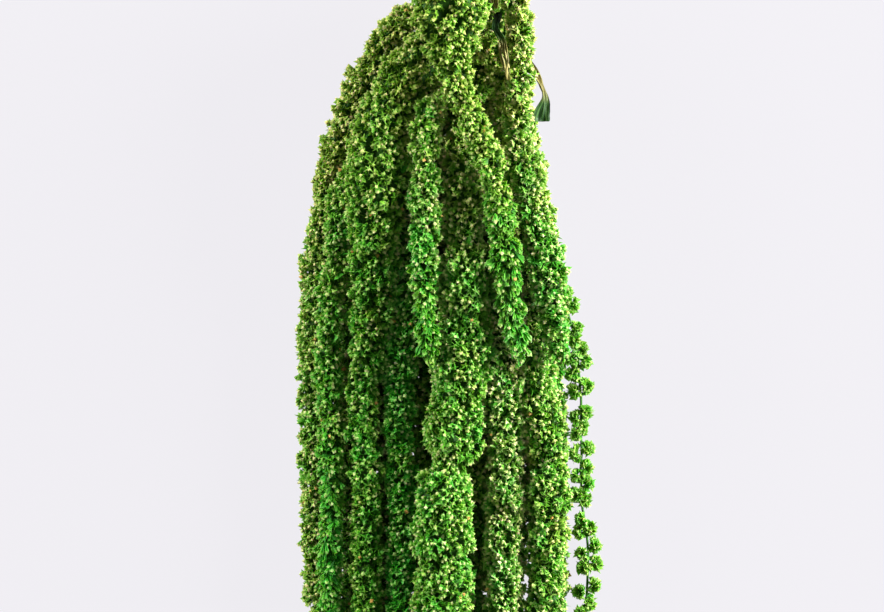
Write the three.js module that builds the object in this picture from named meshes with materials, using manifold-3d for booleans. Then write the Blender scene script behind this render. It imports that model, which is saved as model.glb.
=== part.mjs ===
// Amaranth seed head: one cut stem with its drooping tassels, laid on a flat surface.
// Millimetres. +Z points up from the surface, +Y towards the cut end of the stem, and +X to the right
// of someone who looks down on it with the stem at the top.

import * as THREE from "three";
import { mergeVertices } from "three/addons/utils/BufferGeometryUtils.js";
import Module from "manifold-3d";

const wasm = await Module();
wasm.setup();

// Driving dimensions
const STEM_RADIUS = 3.6;
const STEM_RIB_DEPTH = 0.5; // the stem is ridged along its length
const STEM_SIDES = 12;
const STEM_STEP = 13; // between the stem's rings
const STALK_RADIUS = 1.4; // bare stalk between the stem and a tassel's first florets
const ROOT_REACH = 3.5; // how far a stalk runs straight out of the stem
const CLUSTER_WIDTH = 7.5; // one cluster of florets, round the tassel
const CLUSTER_PITCH = 5.5; // from one ring of clusters to the next, which is staggered
const WAIST_CHANGE = 1.2; // in radius over two steps, where the clusters crowd to half their pitch
const CLUSTER_DEPTH = 1.8; // how far a cluster stands out of the tassel's core
const CLUSTER_WANDER = 0.9; // how far a cluster strays along the tassel
const CLUSTER_UNEVEN = 0.1; // share by which clusters differ in height
const STALK_STEP = 9; // between rings on a bare stalk
const TIP_LENGTH = 5; // the last cluster's point
const LUMP_LENGTH = 26; // a tassel swells and narrows along its length
const LUMP_SHARE = 0.06; // share of its radius by which it does
const SWAY = 0.7; // how far it sways to the sides
const SWAY_LENGTH = 70;
const TASSEL_CLEARANCE = 0.5; // between neighbouring tassels
const ROOT_GAP = 0.4; // between the stem's ridges and a stalk's end
const REST_DENT = 0.7; // how far the lowest clusters are pressed flat by the weight on them
const STRING_RACHIS_RADIUS = 0.75; // the thin axis of the loose, beaded tassel
const BEAD_RADIUS = 2.9; // one loose cluster of it
const BEAD_PITCH = 6; // from one pair of clusters to the next
const BEAD_OFFSET = 1.8; // of a cluster from the axis
const BEAD_STAGGER = 2.6; // of a pair's second cluster, along the axis
const LEAF_THICKNESS = 0.7;

// The stem's middle line, from its cut end into the head
const STEM_ROUTE = [
  [14.5, 152, 4.3],
  [14, 128, 8],
  [13.2, 106, 13],
  [11, 82, 17],
  [7.5, 60, 18.5],
];

// Each tassel leaves the stem at a place along Y and an angle round it, in degrees: 0 right, 90 up,
// 180 left, 270 down. Its route lists X, Y, Z and radius at each point that it passes, to its tip.
const TASSELS = [
  {
    name: "back_tassel_1",
    leaves: [87, 235],
    route: [
      [-3, 68, 7, 3],
      [-15, 47, 5.5, 5.2],
      [-23, 22, 5, 5.5],
      [-25.6, -8, 5, 5.5],
      [-26, -40, 5, 5.5],
      [-26, -80, 5, 5.4],
      [-26.4, -120, 5, 4.6],
      [-27, -162, 4, 2.2],
    ],
  },
  {
    name: "back_tassel_2",
    leaves: [77, 250],
    route: [
      [3, 60, 7, 3],
      [-6, 38, 5.5, 5.2],
      [-12, 10, 5, 5.5],
      [-14.6, -20, 5, 5.5],
      [-14.8, -60, 5, 5.4],
      [-15, -100, 5, 5],
      [-15.5, -150, 4, 2.2],
    ],
  },
  {
    name: "back_tassel_3",
    leaves: [66, 262],
    route: [
      [5.5, 50, 7, 3],
      [1, 28, 5.5, 5.4],
      [-2, -5, 5.3, 5.6],
      [-3.2, -40, 5.3, 5.6],
      [-3.4, -80, 5, 5.5],
      [-3.6, -125, 5, 4.8],
      [-4.5, -176, 4, 2.2],
    ],
  },
  {
    name: "back_tassel_4",
    leaves: [72, 287],
    route: [
      [12, 56, 7, 2.6],
      [11, 32, 5.5, 4.4],
      [9.2, 0, 5, 5.5],
      [8.4, -40, 5, 5.5],
      [8, -80, 5, 5.4],
      [7.6, -120, 5, 4.6],
      [6.6, -158, 4, 2.2],
    ],
  },
  {
    name: "back_tassel_5",
    leaves: [82, 302],
    route: [
      [16.5, 64, 7, 2.6],
      [18.6, 38, 5.5, 4],
      [20, 8, 5, 5.2],
      [20, -30, 5, 5.5],
      [19.7, -70, 5, 5.4],
      [19.4, -105, 5, 4.8],
      [18.6, -146, 4, 2.2],
    ],
  },
  {
    name: "back_tassel_6",
    leaves: [92, 318],
    route: [
      [16.4, 84, 9, 2.8],
      [18, 74, 8, 3.2],
      [21, 56, 6.5, 3.6],
      [25.6, 30, 5, 4],
      [30, -2, 5, 4.8],
      [32, -45, 5, 5.2],
      [32, -82, 5, 4.8],
      [31, -126, 4, 2.2],
    ],
  },
  {
    name: "left_edge_tassel",
    leaves: [102, 190],
    route: [
      [-1, 90, 17, 3.6],
      [-10.8, 80.5, 18, 5.4],
      [-18.6, 71, 17.5, 6.1],
      [-25.4, 60, 13.5, 6],
      [-31, 46, 9, 5.5],
      [-34.4, 28, 6, 5.3],
      [-37.2, 11, 5, 5.3],
      [-39.6, -8, 5, 5.3],
      [-39.2, -22, 5, 5.3],
      [-37.4, -36, 5, 5.3],
      [-38, -50, 5, 5.3],
      [-37.2, -64, 5, 5.3],
      [-37.8, -79, 5, 5.1],
      [-36.6, -94, 5, 4.8],
      [-35, -130, 4, 2],
    ],
  },
  {
    name: "left_second_tassel",
    leaves: [92, 200],
    route: [
      [-4, 80, 11, 1.6],
      [-13, 67, 10, 1.6],
      [-20, 56, 11, 2],
      [-26, 44, 14.5, 2.8],
      [-30, 32, 16.4, 4.2],
      [-32.2, 16, 15.6, 4.5],
      [-33.2, -2, 15, 4.4],
      [-33.7, -20, 14.8, 4.3],
      [-33.6, -42, 14.8, 4.2],
      [-33.6, -66, 14.8, 4.2],
      [-33.2, -90, 14, 4],
      [-32, -136, 9, 2],
    ],
  },
  {
    name: "left_third_tassel",
    leaves: [95, 150],
    route: [
      [-3, 82, 23, 6.4],
      [-9.6, 71, 24, 9],
      [-17.6, 58, 23.5, 9.2],
      [-20.4, 43, 22.5, 8.7],
      [-21.2, 28, 21, 7.7],
      [-21.8, 10, 18, 5.7],
      [-22.8, -8, 17, 5.2],
      [-22.8, -28, 16.5, 5.1],
      [-22.5, -52, 16.5, 5.1],
      [-22.2, -76, 16, 5],
      [-22, -100, 15, 4.8],
      [-22.5, -152, 9, 2],
    ],
  },
  {
    name: "left_fourth_tassel",
    leaves: [70, 172],
    route: [
      [-0.6, 63, 18, 3],
      [-8, 47, 17, 4.6],
      [-11.4, 26, 16.5, 4.9],
      [-13, 2, 16.5, 4.9],
      [-13.4, -22, 16.5, 4.9],
      [-13.5, -46, 16.5, 4.9],
      [-13.4, -70, 16, 4.8],
      [-13.2, -94, 16, 4.6],
      [-13, -136, 11, 2],
    ],
  },
  {
    name: "main_tassel",
    leaves: null, // the stem itself runs out into this one
    route: [
      [6.6, 52, 19.4, 5],
      [5.4, 42, 24.4, 6.7],
      [6, 30, 26, 6.9],
      [7, 12, 26, 7],
      [6.8, -5, 25, 7.4],
      [5, -20, 23.5, 8.3],
      [4.3, -34, 22, 8.9],
      [4, -41, 21.6, 8.8],
      [3, -46, 21.4, 6.4],
      [2.2, -48.5, 21.6, 5.6],
      [1.4, -51, 22.4, 6.4],
      [0.7, -55, 23.6, 9.2],
      [0.5, -58.5, 23.6, 9.6],
      [0.4, -64, 23, 8.4],
      [0.6, -71, 22.7, 9.6],
      [0.5, -78, 22.5, 8.4],
      [0.3, -86, 22.3, 9.4],
      [0, -95, 22, 8.6],
      [-0.5, -112, 19.5, 8],
      [-1.5, -140, 14, 6],
      [-3, -180, 7, 2.4],
    ],
  },
  {
    name: "right_inner_tassel",
    leaves: [66, 335],
    route: [
      [12.9, 52, 17, 3.5],
      [15.6, 30, 17, 5.2],
      [18, 5, 17, 5.7],
      [18.3, -19, 17, 5.8],
      [18.3, -40, 17.5, 5.8],
      [18.6, -61, 18, 5.8],
      [18.9, -85, 18, 5.7],
      [19, -108, 16, 5],
      [19, -152, 10, 2.2],
    ],
  },
  {
    name: "right_outer_tassel",
    leaves: [82, 62],
    route: [
      [13.6, 77, 25.4, 3.8],
      [15, 71, 23.6, 3.9],
      [17.8, 64, 18.6, 3.8],
      [19.6, 56, 15, 4],
      [21.2, 46, 14.4, 4.2],
      [25, 24, 15, 5.4],
      [28, -1, 15, 6],
      [29.7, -22, 15.5, 6.2],
      [31, -43, 16, 6.3],
      [31.5, -64, 16, 6.3],
      [31.8, -85, 16, 6.2],
      [32, -106, 15, 5.6],
      [32, -156, 9, 2.2],
    ],
  },
  {
    name: "right_edge_tassel",
    leaves: [107, 30],
    route: [
      [20.5, 100, 20, 3.4],
      [21.9, 90, 22.5, 4.3],
      [22.6, 75, 25, 4.2],
      [22, 60, 27, 4.3],
      [25.5, 39, 28.5, 6],
      [29.4, 18, 29, 5.8],
      [33, 0, 28.5, 5.2],
      [36, -20, 26, 2.4],
    ],
  },
  {
    name: "front_slim_tassel",
    leaves: [75, 98],
    route: [
      [2.5, 69, 26, 1.5],
      [-2.6, 61, 30.5, 3],
      [-4.4, 55.8, 32, 4.7],
      [-5.4, 44, 32, 4.9],
      [-5.4, 26, 31, 4.9],
      [-4.8, 8, 31, 4.6],
      [-3.6, -6, 31, 3.8],
      [-2.4, -18, 31, 1.8],
    ],
  },
  {
    name: "front_curved_tassel",
    leaves: [110, 112],
    route: [
      [4, 102, 27, 7.5],
      [1.2, 93, 31, 11.3],
      [0.4, 82, 32, 11.8],
      [1.4, 76, 33, 9],
      [3, 70, 34, 5.4],
      [4.8, 64, 34.5, 4.6],
      [8, 56, 35, 4.6],
      [11.8, 48, 35, 4.6],
      [14.4, 38, 35, 4.6],
      [17.4, 26, 34, 4.9],
      [19.2, 16, 33, 4.6],
      [19.8, 6, 32.5, 3.9],
      [21.2, -6, 31.5, 3.2],
      [23, -17, 30, 1.6],
    ],
  },
];

// The loose tassel at the right edge, whose clusters sit apart on a thin axis
const BEADED_STRING = {
  name: "beaded_string",
  leaves: [98, 345],
  beadsFrom: 4, // the axis is bare above this Y
  route: [
    [19, 78, 9, 0.8],
    [26, 50, 11.5, 0.8],
    [31.5, 24, 12, 0.8],
    [36.5, 7, 11.5, 1.5],
    [39, -1, 9.5, 3.4],
    [40.4, -13, 6.5, 4],
    [41.1, -30, 4.6, 4],
    [41.3, -48, 4.2, 4],
    [42.1, -61, 4.2, 4],
    [43.7, -77, 4.2, 4],
    [43.5, -92, 4, 4],
    [44.2, -112, 4, 3.8],
    [44, -134, 3.4, 2.6],
  ],
};

// Dried leaves, from the stem outwards: X, Y, Z, half width, and the turn of the blade about its own
// length in degrees
const LEAVES = [
  {
    name: "twisted_leaf",
    leaves: [93, 352],
    route: [
      [20, 84, 13, 0.8, 90],
      [25.8, 74.6, 14, 0.8, 80],
      [28.6, 70, 16, 1, 70],
      [30.4, 66, 17, 1.2, 40],
      [31.4, 62.4, 17.5, 1.2, 50],
      [30.4, 59.2, 17.5, 2.3, 80],
      [29.5, 55.2, 17, 2.9, 90],
    ],
  },
  {
    name: "curled_leaf",
    leaves: [88, 40],
    route: [
      [15.8, 84, 25.5, 0.8, 0],
      [18, 79.5, 32, 0.9, 20],
      [18.3, 75.6, 33.5, 1.2, 60],
      [19.2, 71.5, 33.5, 1.3, 100],
      [20.4, 67, 33, 0.9, 140],
    ],
  },
  {
    name: "bract_leaf",
    leaves: [104, 75],
    route: [
      [14.8, 97, 25, 0.8, 0],
      [15.4, 92.5, 28.5, 1.2, 30],
      [16.8, 88.8, 29, 0.8, 60],
    ],
  },
];

// Materials
const TASSEL_GREEN = new THREE.MeshStandardMaterial({
  color: "#5d9a3c",
  roughness: 0.85,
  metalness: 0,
});
const STEM_GREEN = new THREE.MeshStandardMaterial({
  color: "#7f9a55",
  roughness: 0.6,
  metalness: 0,
});
const DRY_LEAF = new THREE.MeshStandardMaterial({
  color: "#8a7d3c",
  roughness: 0.7,
  metalness: 0,
});

// A small seeded generator of numbers from 0 to 1, so that every build is the same.
function seeded(seed) {
  let state = seed;
  return () => {
    state = (Math.imul(state, 1664525) + 1013904223) >>> 0;
    return state / 4294967296;
  };
}

const stemCurve = new THREE.CatmullRomCurve3(
  STEM_ROUTE.map((p) => new THREE.Vector3(...p)),
);

// The point of the stem's middle line at a given Y.
function stemAt(y) {
  let low = 0;
  let high = 1;
  for (let halving = 0; halving < 30; halving++) {
    const middle = (low + high) / 2;
    if (stemCurve.getPoint(middle).y > y) low = middle;
    else high = middle;
  }
  return stemCurve.getPoint(low);
}

// The two points of a stalk at the stem: just off its ridges, and straight out from there.
function rootPoints([y, degrees]) {
  const angle = THREE.MathUtils.degToRad(degrees);
  const out = new THREE.Vector3(Math.cos(angle), 0, Math.sin(angle));
  const start = stemAt(y).addScaledVector(out, STEM_RADIUS + ROOT_GAP);
  return [start, start.clone().addScaledVector(out, ROOT_REACH)];
}

// A route as evenly spaced points with a radius at each, from the root to the tip. The seed sets where it
// swells and sways.
function chainOf({ name, leaves, route }, stalk = STALK_RADIUS, seed = 1) {
  const random = seeded(seed);
  const lumpPhase = 2 * Math.PI * random();
  const swayPhase = 2 * Math.PI * random();
  const roots = leaves
    ? rootPoints(leaves)
    : [stemCurve.getPoint(1).add(new THREE.Vector3(0, -ROOT_GAP, 0))];
  const points = [...roots, ...route.map(([x, y, z]) => new THREE.Vector3(x, y, z))];
  const radii = [...roots.map(() => stalk), ...route.map((p) => p[3])];
  const curve = new THREE.CatmullRomCurve3(points, false, "centripetal");
  const count = Math.ceil(curve.getLength() / SETTLE_STEP);
  const targets = [];
  const widths = [];
  for (let i = 0; i <= count; i++) {
    const t = curve.getUtoTmapping(i / count);
    const place = Math.min(t * (points.length - 1), points.length - 1.001);
    const before = Math.floor(place);
    const share = THREE.MathUtils.smoothstep(place - before, 0, 1);
    const width = THREE.MathUtils.lerp(radii[before], radii[before + 1], share);
    const full = THREE.MathUtils.smoothstep(width, 2 * STALK_RADIUS, 3 * STALK_RADIUS);
    const along = (2 * Math.PI * i * SETTLE_STEP) / LUMP_LENGTH + lumpPhase;
    const sway = (2 * Math.PI * i * SETTLE_STEP) / SWAY_LENGTH + swayPhase;
    const lump = Math.sin(along + Math.sin(0.37 * along));
    const point = curve.getPoint(t);
    point.x += full * SWAY * Math.sin(sway);
    targets.push(point);
    widths.push(width * (1 + full * LUMP_SHARE * lump));
  }
  return { name, points: targets, radii: widths, pinned: leaves ? 3 : 1 };
}

// Settling: the routes are pushed apart until no two tassels share space and none lies under the surface.
const SETTLE_STEP = 3; // between the points of a chain
const SETTLE_ROUNDS = 420;
const FIRM_ROUNDS = 60; // the last rounds only push
const PULL_BACK = 0.992; // how much of its shift a point keeps each round
const SMOOTHING = 0.35; // how far a point's shift follows its neighbours'

function settle(chains) {
  const all = chains.flatMap((chain, index) =>
    chain.points.map((target, i) => ({
      chain: index,
      target,
      radius: chain.radii[i],
      fixed: i < chain.pinned,
      shift: new THREE.Vector3(),
      at: target.clone(),
    })),
  );
  const byChain = chains.map((chain, index) => all.filter((p) => p.chain === index));
  const apart = new THREE.Vector3();
  for (let round = 0; round < SETTLE_ROUNDS; round++) {
    const firm = round >= SETTLE_ROUNDS - FIRM_ROUNDS;
    all.sort((a, b) => a.at.y - b.at.y);
    for (let i = 0; i < all.length; i++) {
      const a = all[i];
      for (let j = i + 1; j < all.length && all[j].at.y - a.at.y < 2 * WIDEST; j++) {
        const b = all[j];
        if (a.chain === b.chain || (a.fixed && b.fixed)) continue;
        const need = a.radius + b.radius + TASSEL_CLEARANCE;
        apart.subVectors(b.at, a.at);
        const distance = apart.length();
        if (distance >= need) continue;
        apart.multiplyScalar((need - distance) / Math.max(distance, 0.1));
        const share = a.fixed ? 0 : b.fixed ? 1 : 0.5;
        a.at.addScaledVector(apart, -share);
        b.at.addScaledVector(apart, 1 - share);
      }
    }
    for (const points of byChain) {
      for (const p of points) {
        p.at.z = Math.max(p.at.z, p.radius - REST_DENT);
        p.shift.subVectors(p.at, p.target);
      }
      points.forEach((p, i) => {
        if (p.fixed) return;
        const before = points[i - 1] ?? p;
        const after = points[i + 1] ?? p;
        const mean = before.shift.clone().add(after.shift).multiplyScalar(0.5);
        p.at.copy(p.shift);
        if (!firm) p.at.lerp(mean, SMOOTHING).multiplyScalar(PULL_BACK);
        p.at.add(p.target);
      });
    }
  }
  chains.forEach((chain, index) => {
    chain.points = byChain[index].map((p) => p.at);
  });
}

// Lofting: rings of points along a middle line, each turned as little as possible from the one before.
function framesAlong(points) {
  const frames = [];
  const turn = new THREE.Quaternion();
  let across = new THREE.Vector3(0, 0, 1);
  points.forEach((point, i) => {
    const ahead = points[Math.min(i + 1, points.length - 1)];
    const behind = points[Math.max(i - 1, 0)];
    const along = new THREE.Vector3().subVectors(ahead, behind).normalize();
    if (i === 0) {
      if (Math.abs(along.z) > 0.9) across.set(1, 0, 0);
      across.addScaledVector(along, -across.dot(along)).normalize();
    } else {
      across = across.clone().applyQuaternion(turn.setFromUnitVectors(frames[i - 1].along, along));
    }
    frames.push({ point, along, across, beside: new THREE.Vector3().crossVectors(along, across) });
  });
  return frames;
}

// A closed skin over rings of equal size, with a point at each end. splitOdd picks the diagonal that splits
// each four-sided patch: the one between its lower corners keeps the raised corners sharp.
function skin(rings, first, last, splitOdd = () => true) {
  const sides = rings[0].length;
  const position = [];
  const index = [];
  [...rings.flat(), first, last].forEach((p) => position.push(p.x, p.y, p.z));
  const firstIndex = rings.length * sides;
  const lastRing = (rings.length - 1) * sides;
  for (let i = 0; i < sides; i++) {
    const next = (i + 1) % sides;
    index.push(firstIndex, next, i);
    index.push(firstIndex + 1, lastRing + i, lastRing + next);
    for (let k = 0; k + 1 < rings.length; k++) {
      const a = k * sides + i;
      const b = k * sides + next;
      const c = b + sides;
      const d = a + sides;
      if (splitOdd(i, k)) index.push(a, b, d, b, c, d);
      else index.push(a, b, c, a, c, d);
    }
  }
  return new THREE.BufferGeometry()
    .setAttribute("position", new THREE.Float32BufferAttribute(position, 3))
    .setIndex(index);
}

// Solids for joining and cutting
function solidOf(geometry) {
  const bare = geometry.clone();
  bare.deleteAttribute("normal");
  bare.deleteAttribute("uv");
  const merged = mergeVertices(bare, 1e-4);
  const vertProperties = new Float32Array(merged.attributes.position.array);
  const triVerts = new Uint32Array(merged.index.array);
  return new wasm.Manifold(new wasm.Mesh({ numProp: 3, vertProperties, triVerts }));
}

function geometryOf(solid) {
  const { vertProperties, triVerts } = solid.getMesh();
  return new THREE.BufferGeometry()
    .setAttribute("position", new THREE.BufferAttribute(vertProperties, 3))
    .setIndex(new THREE.BufferAttribute(triVerts, 1));
}

// What would reach under the surface is pressed flat on it.
const FLOOR_SIZE = 800;
const floorBlock = solidOf(
  new THREE.BoxGeometry(FLOOR_SIZE, FLOOR_SIZE, FLOOR_SIZE).translate(0, 0, -FLOOR_SIZE / 2),
);

function pressedFlat(geometry) {
  geometry.computeBoundingBox();
  if (geometry.boundingBox.min.z >= 0) return geometry;
  return geometryOf(solidOf(geometry).subtract(floorBlock));
}

// A tassel: a core that carries staggered clusters of florets, raised from it as blunt pyramids.
function tasselGeometry({ points, radii }, seed) {
  const random = seeded(seed);
  const widest = Math.max(...radii);
  const sides = 2 * Math.max(3, Math.round((Math.PI * 2 * widest) / CLUSTER_WIDTH));
  const stations = [];
  for (let i = 0; i < points.length - 1; ) {
    stations.push(i);
    const next = radii[Math.min(i + 2, points.length - 1)];
    const waist = radii[i] > 2 * STALK_RADIUS && Math.abs(next - radii[i]) > WAIST_CHANGE;
    const pitch = waist ? CLUSTER_PITCH / 2 : CLUSTER_PITCH;
    const step = radii[i] < 2 * STALK_RADIUS ? STALK_STEP : pitch;
    i += Math.max(1, Math.round(step / SETTLE_STEP));
  }
  const frames = framesAlong(points);
  const rings = stations.map((station, k) => {
    const { point, along, across, beside } = frames[station];
    const radius = radii[station];
    const bare = radius < 1.5 * STALK_RADIUS;
    return Array.from({ length: sides }, (_, i) => {
      const raised = (i + k) % 2 === 0;
      const angle = (2 * Math.PI * i) / sides;
      const uneven = 1 - CLUSTER_UNEVEN * random();
      const wander = CLUSTER_WANDER * (2 * random() - 1);
      const crest = raised ? radius * uneven : Math.max(radius - CLUSTER_DEPTH, radius * 0.6);
      const reach = bare ? radius : crest;
      return point
        .clone()
        .addScaledVector(across, reach * Math.cos(angle))
        .addScaledVector(beside, reach * Math.sin(angle))
        .addScaledVector(along, bare || !raised ? 0 : wander);
    });
  });
  const end = frames[stations[stations.length - 1]];
  const tip = end.point.clone().addScaledVector(end.along, TIP_LENGTH);
  return pressedFlat(skin(rings, points[0], tip, (i, k) => (i + k) % 2 === 0));
}

// The beaded string: a thin axis with pairs of loose clusters fused to its sides.
function stringGeometry({ points }, seed) {
  const random = seeded(seed);
  const frames = framesAlong(points);
  const rings = frames.map(({ point, across, beside }) =>
    Array.from({ length: 4 }, (_, i) =>
      point
        .clone()
        .addScaledVector(across, STRING_RACHIS_RADIUS * Math.cos((Math.PI * i) / 2))
        .addScaledVector(beside, STRING_RACHIS_RADIUS * Math.sin((Math.PI * i) / 2)),
    ),
  );
  const everyThird = rings.filter((_, i) => i % 3 === 0 || i === rings.length - 1);
  const end = frames[frames.length - 1];
  const tip = end.point.clone().addScaledVector(end.along, 1);
  let solid = solidOf(skin(everyThird, points[0], tip));
  const step = Math.round(BEAD_PITCH / SETTLE_STEP);
  const from = points.findIndex((p) => p.y < BEADED_STRING.beadsFrom);
  for (let i = from; i < points.length; i += step) {
    const { point, along, across, beside } = frames[i];
    const lean = 1.4 * (random() - 0.5);
    for (const side of [-1, 1]) {
      const centre = point
        .clone()
        .addScaledVector(beside, side * BEAD_OFFSET * Math.cos(lean))
        .addScaledVector(across, side * BEAD_OFFSET * Math.sin(lean))
        .addScaledVector(along, (side * BEAD_STAGGER * (0.5 + random())) / 2);
      const shape = new THREE.OctahedronGeometry(BEAD_RADIUS * (0.8 + 0.2 * random()));
      shape.rotateX(Math.PI * random()).rotateZ(Math.PI * random());
      solid = solid.add(solidOf(shape.translate(centre.x, centre.y, centre.z)));
    }
  }
  return pressedFlat(geometryOf(solid));
}

// A leaf blade: a thin ribbon with a raised midrib, whose width and turn follow its route.
function leafGeometry({ leaves, route }) {
  const roots = rootPoints(leaves);
  const points = [...roots, ...route.map(([x, y, z]) => new THREE.Vector3(x, y, z))];
  const widths = [...roots.map(() => route[0][3]), ...route.map((p) => p[3])];
  const turns = [...roots.map(() => route[0][4]), ...route.map((p) => p[4])];
  const curve = new THREE.CatmullRomCurve3(points, false, "centripetal");
  const count = Math.ceil(curve.getLength() / 2.2);
  const places = Array.from({ length: count + 1 }, (_, i) => i / count);
  const frames = framesAlong(places.map((u) => curve.getPointAt(u)));
  const rings = frames.map(({ point, across, beside }, i) => {
    const place = Math.min(curve.getUtoTmapping(places[i]) * (points.length - 1), points.length - 1.001);
    const before = Math.floor(place);
    const half = THREE.MathUtils.lerp(widths[before], widths[before + 1], place - before);
    const turn = THREE.MathUtils.degToRad(
      THREE.MathUtils.lerp(turns[before], turns[before + 1], place - before),
    );
    const wide = across.clone().multiplyScalar(Math.cos(turn)).addScaledVector(beside, Math.sin(turn));
    const thick = beside.clone().multiplyScalar(Math.cos(turn)).addScaledVector(across, -Math.sin(turn));
    const corner = (w, t) => point.clone().addScaledVector(wide, w).addScaledVector(thick, t);
    const flat = LEAF_THICKNESS / 2;
    const fold = half * 0.35;
    return [
      corner(half, -flat + fold),
      corner(half, flat + fold),
      corner(0, flat),
      corner(-half, flat + fold),
      corner(-half, -flat + fold),
      corner(0, -flat),
    ];
  });
  const ends = [rings[0], rings[rings.length - 1]].map((ring) =>
    ring[2].clone().add(ring[5]).multiplyScalar(0.5),
  );
  return skin(rings, ends[0], ends[1], (i) => i < 3);
}

// The stem: a ridged rod, cut square at its far end.
function stemGeometry() {
  const count = Math.round(stemCurve.getLength() / STEM_STEP);
  const points = stemCurve.getSpacedPoints(count);
  const rings = framesAlong(points).map(({ point, across, beside }) =>
    Array.from({ length: STEM_SIDES }, (_, i) => {
      const angle = (2 * Math.PI * i) / STEM_SIDES;
      const reach = STEM_RADIUS - (i % 2 ? STEM_RIB_DEPTH : 0);
      return point
        .clone()
        .addScaledVector(across, reach * Math.cos(angle))
        .addScaledVector(beside, reach * Math.sin(angle));
    }),
  );
  return skin(rings, points[0], points[points.length - 1]);
}

// Assembly
const WIDEST = Math.max(...TASSELS.flatMap((t) => t.route.map((p) => p[3]))) + TASSEL_CLEARANCE;
const stemPoints = stemCurve.getSpacedPoints(Math.round(stemCurve.getLength() / SETTLE_STEP));
const stemChain = {
  name: "stem",
  points: stemPoints,
  radii: stemPoints.map(() => STEM_RADIUS),
  pinned: stemPoints.length,
};
const chains = [
  stemChain,
  ...TASSELS.map((t, i) => chainOf(t, STALK_RADIUS, 7 * i + 3)),
  chainOf(BEADED_STRING, STRING_RACHIS_RADIUS),
  ...LEAVES.map((leaf) => chainOf({ ...leaf, route: leaf.route.map((p) => p.slice(0, 4)) }, 1)),
];
chains.forEach((chain) => {
  if (LEAVES.some((leaf) => leaf.name === chain.name)) chain.pinned = chain.points.length;
});
settle(chains);
const settled = Object.fromEntries(chains.map((chain) => [chain.name, chain]));

const head = new THREE.Group();

function addPiece(name, geometry, material) {
  const mesh = new THREE.Mesh(geometry, material.clone());
  mesh.name = name;
  head.add(mesh);
}

addPiece("stem", stemGeometry(), STEM_GREEN);
TASSELS.forEach(({ name }, i) => addPiece(name, tasselGeometry(settled[name], i + 1), TASSEL_GREEN));
addPiece(BEADED_STRING.name, stringGeometry(settled[BEADED_STRING.name], 99), TASSEL_GREEN);
LEAVES.forEach((leaf) => addPiece(leaf.name, leafGeometry(leaf), DRY_LEAF));

// The origin sits on the surface, under the middle of the whole head.
const box = new THREE.Box3().setFromObject(head);
const middle = box.getCenter(new THREE.Vector3());
head.children.forEach((mesh) => mesh.position.set(-middle.x, -middle.y, -box.min.z));

export default head;
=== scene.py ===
# %% [markdown]
# # An amaranth seed head on a pale table
#
# Hanging amaranth carries its flowers in long drooping tassels. A tassel is a thin axis packed with
# small round clusters, and a cluster is a dozen florets: a cream seed that pokes out of a star of
# pointed green tepals. The head is cut and laid down, so the picture is taken from straight above.
#
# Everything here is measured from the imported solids: each tassel's middle line and width come from
# cutting its solid across, and the florets are then seated on that line. That way the fine surface
# keeps the solid's form.

import bpy
import numpy as np
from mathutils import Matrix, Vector
from mathutils.bvhtree import BVHTree


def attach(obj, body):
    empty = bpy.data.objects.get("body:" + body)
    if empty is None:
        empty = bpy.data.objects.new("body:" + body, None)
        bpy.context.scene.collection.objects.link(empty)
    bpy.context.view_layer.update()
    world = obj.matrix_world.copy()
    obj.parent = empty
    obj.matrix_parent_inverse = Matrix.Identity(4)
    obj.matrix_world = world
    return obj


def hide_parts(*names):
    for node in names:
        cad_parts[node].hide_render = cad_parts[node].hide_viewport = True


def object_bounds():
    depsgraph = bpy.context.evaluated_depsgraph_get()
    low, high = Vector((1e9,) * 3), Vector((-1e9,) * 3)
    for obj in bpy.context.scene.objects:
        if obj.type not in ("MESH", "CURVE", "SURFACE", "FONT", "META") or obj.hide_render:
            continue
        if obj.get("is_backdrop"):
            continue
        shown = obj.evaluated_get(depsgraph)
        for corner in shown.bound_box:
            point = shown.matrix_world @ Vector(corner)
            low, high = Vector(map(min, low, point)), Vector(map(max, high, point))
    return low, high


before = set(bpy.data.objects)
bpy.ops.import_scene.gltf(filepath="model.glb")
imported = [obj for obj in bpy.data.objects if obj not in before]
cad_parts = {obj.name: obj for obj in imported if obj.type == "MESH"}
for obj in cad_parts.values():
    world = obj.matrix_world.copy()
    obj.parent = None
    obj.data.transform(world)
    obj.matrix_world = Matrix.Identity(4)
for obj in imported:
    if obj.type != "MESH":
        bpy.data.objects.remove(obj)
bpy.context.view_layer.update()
MM = 0.001
UP = np.array([0.0, 0.0, 1.0])
GOLDEN_TURN = np.pi * (3 - np.sqrt(5))
PHOTO_MIDDLE = np.array([-2.277, 14.806, 0]) * MM  # the place under the middle of the picture
rng = np.random.default_rng(20)


def picture_height(points):
    """How far up the picture points lie from its middle, in millimetres."""
    return (points[..., 1] - PHOTO_MIDDLE[1]) / MM


print("solids:", len(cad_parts))

# %% [markdown]
# ## Measuring the solids
#
# A tassel's solid is a bumpy tube. Walking along it from its tip and cutting it square to the way it
# runs gives a ring of points at every step: their middle is a point of the tassel's axis and the
# farthest is its width. A list of points in a file would give the same line, but it would be wrong
# as soon as the solid changed.


# %% Cutting a solid across
def triangles_of(node):
    """The node's triangles as corner points, one row of three points each."""
    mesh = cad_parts[node].data
    mesh.calc_loop_triangles()
    corners = np.empty(len(mesh.loop_triangles) * 3, np.int32)
    mesh.loop_triangles.foreach_get("vertices", corners)
    points = np.empty(len(mesh.vertices) * 3, np.float32)
    mesh.vertices.foreach_get("co", points)
    return points.reshape(-1, 3)[corners].reshape(-1, 3, 3).astype(float)


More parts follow.
